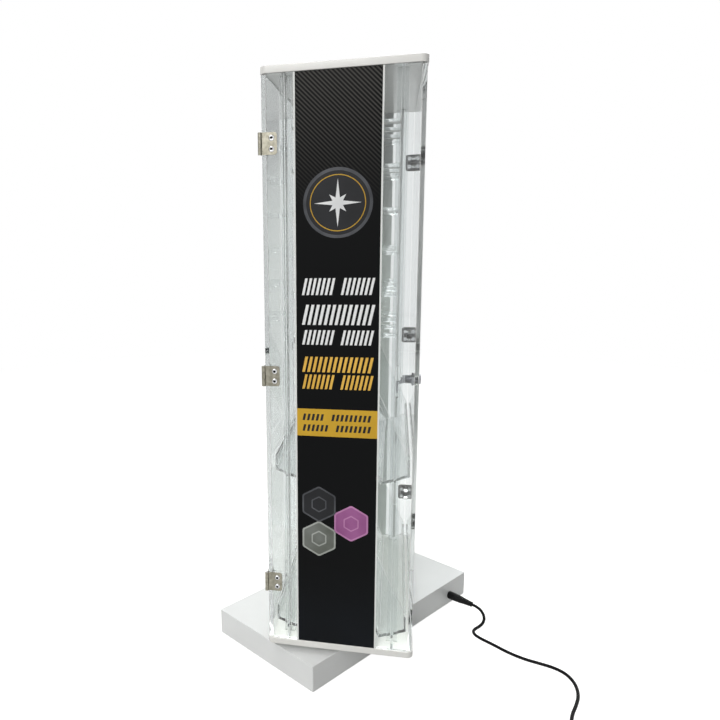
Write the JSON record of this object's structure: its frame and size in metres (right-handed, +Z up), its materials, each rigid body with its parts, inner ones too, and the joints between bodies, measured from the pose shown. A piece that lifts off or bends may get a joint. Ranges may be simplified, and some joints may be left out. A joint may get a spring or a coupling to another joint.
{
  "type": "revolving display cabinet",
  "caption": "Tall clear acrylic display cabinet that turns on a motorised white box base, with two hinged locking side doors, pegs and slanted trays inside.",
  "frame": {"origin": "on the floor at the turning axis of the tower, which is the middle of the base", "axes": "+Z up along the turning axis, -Y towards the narrow graphic face of the tower at rest, +X to its right"},
  "size_m": [0.4593, 0.4828, 0.737],
  "materials": {
    "clear_acrylic": "clear polished cast acrylic",
    "white_acrylic": "gloss white acrylic sheet",
    "base_white": "satin white plastic sheet",
    "printed_vinyl": "satin printed vinyl, dark carbon weave with a gold band",
    "nickel": "nickel plated sheet steel",
    "chrome": "bright chrome plated",
    "steel_ring": "zinc plated pressed steel",
    "zinc": "zinc plated motor can",
    "acetal": "natural acetal",
    "black_plastic": "fine textured black moulding",
    "cord_pvc": "satin black flexible PVC",
    "rubber": "matt black rubber"
  },
  "bodies": {
    "base": {"base_shell": "base_white", "base_cover": "base_white", "rubber_foot_1": "rubber", "rubber_foot_2": "rubber", "rubber_foot_3": "rubber", "rubber_foot_4": "rubber", "gear_motor": "zinc", "power_socket": "black_plastic", "motor_lead": "black_plastic", "bearing_lower_ring": "steel_ring", "bearing_glide_ring": "acetal", "supply_plug": "black_plastic", "cord_run": "cord_pvc", "cord_coil": "cord_pvc", "wall_adapter": "black_plastic"},
    "motor_pinion": {"drive_pinion": "acetal"},
    "tower": {"ring_gear": "acetal", "bearing_upper_ring": "steel_ring", "bottom_plate": "white_acrylic", "top_plate": "white_acrylic", "spine_panel": "clear_acrylic", "front_panel": "clear_acrylic", "rear_panel": "clear_acrylic", "front_graphic": "printed_vinyl", "rear_graphic": "printed_vinyl", "stile_front_left": "clear_acrylic", "stile_front_right": "clear_acrylic", "stile_rear_left": "clear_acrylic", "stile_rear_right": "clear_acrylic", "peg_strip_left_1": "clear_acrylic", "peg_strip_left_2": "clear_acrylic", "peg_strip_left_3": "clear_acrylic", "peg_strip_left_4": "clear_acrylic", "lower_tray_left": "clear_acrylic", "upper_tray_left": "clear_acrylic", "left_hinge_lower_frame_leaf": "nickel", "left_hinge_middle_frame_leaf": "nickel", "left_hinge_upper_frame_leaf": "nickel", "peg_strip_right_1": "clear_acrylic", "peg_strip_right_2": "clear_acrylic", "peg_strip_right_3": "clear_acrylic", "peg_strip_right_4": "clear_acrylic", "lower_tray_right": "clear_acrylic", "upper_tray_right": "clear_acrylic", "right_hinge_lower_frame_leaf": "nickel", "right_hinge_middle_frame_leaf": "nickel", "right_hinge_upper_frame_leaf": "nickel"},
    "left_door": {"left_door": "clear_acrylic", "left_hinge_lower_door_leaf": "nickel", "left_hinge_middle_door_leaf": "nickel", "left_hinge_upper_door_leaf": "nickel", "left_lock_barrel": "chrome"},
    "left_lock_cam": {"left_lock_cam": "chrome"},
    "right_door": {"right_door": "clear_acrylic", "right_hinge_lower_door_leaf": "nickel", "right_hinge_middle_door_leaf": "nickel", "right_hinge_upper_door_leaf": "nickel", "right_lock_barrel": "chrome"},
    "right_lock_cam": {"right_lock_cam": "chrome"}
  },
  "joints": [
    {"name": "turntable_spin", "type": "hinge", "parent": "base", "child": "tower", "pos_m": [0, 0, 0.042], "axis": [0, 0, 1], "continuous": true},
    {"name": "pinion_spin", "type": "hinge", "parent": "base", "child": "motor_pinion", "pos_m": [0.02481, 0.03389, 0.042], "axis": [0, 0, 1], "continuous": true},
    {"name": "left_door_swing", "type": "hinge", "parent": "tower", "child": "left_door", "pos_m": [-0.08935, -0.16585, 0.392], "axis": [0, 0, 1], "range_deg": [0, 240]},
    {"name": "right_door_swing", "type": "hinge", "parent": "tower", "child": "right_door", "pos_m": [0.08935, 0.16585, 0.392], "axis": [0, 0, 1], "range_deg": [0, 240]},
    {"name": "left_cam_turn", "type": "hinge", "parent": "left_door", "child": "left_lock_cam", "pos_m": [-0.075, 0.134, 0.388], "axis": [1, 0, 0], "range_deg": [0, 90]},
    {"name": "right_cam_turn", "type": "hinge", "parent": "right_door", "child": "right_lock_cam", "pos_m": [0.075, -0.134, 0.388], "axis": [-1, 0, 0], "range_deg": [0, 90]}
  ],
  "couplings": [
    {"joint": "pinion_spin", "follows": "turntable_spin", "ratio": 4}
  ]
}
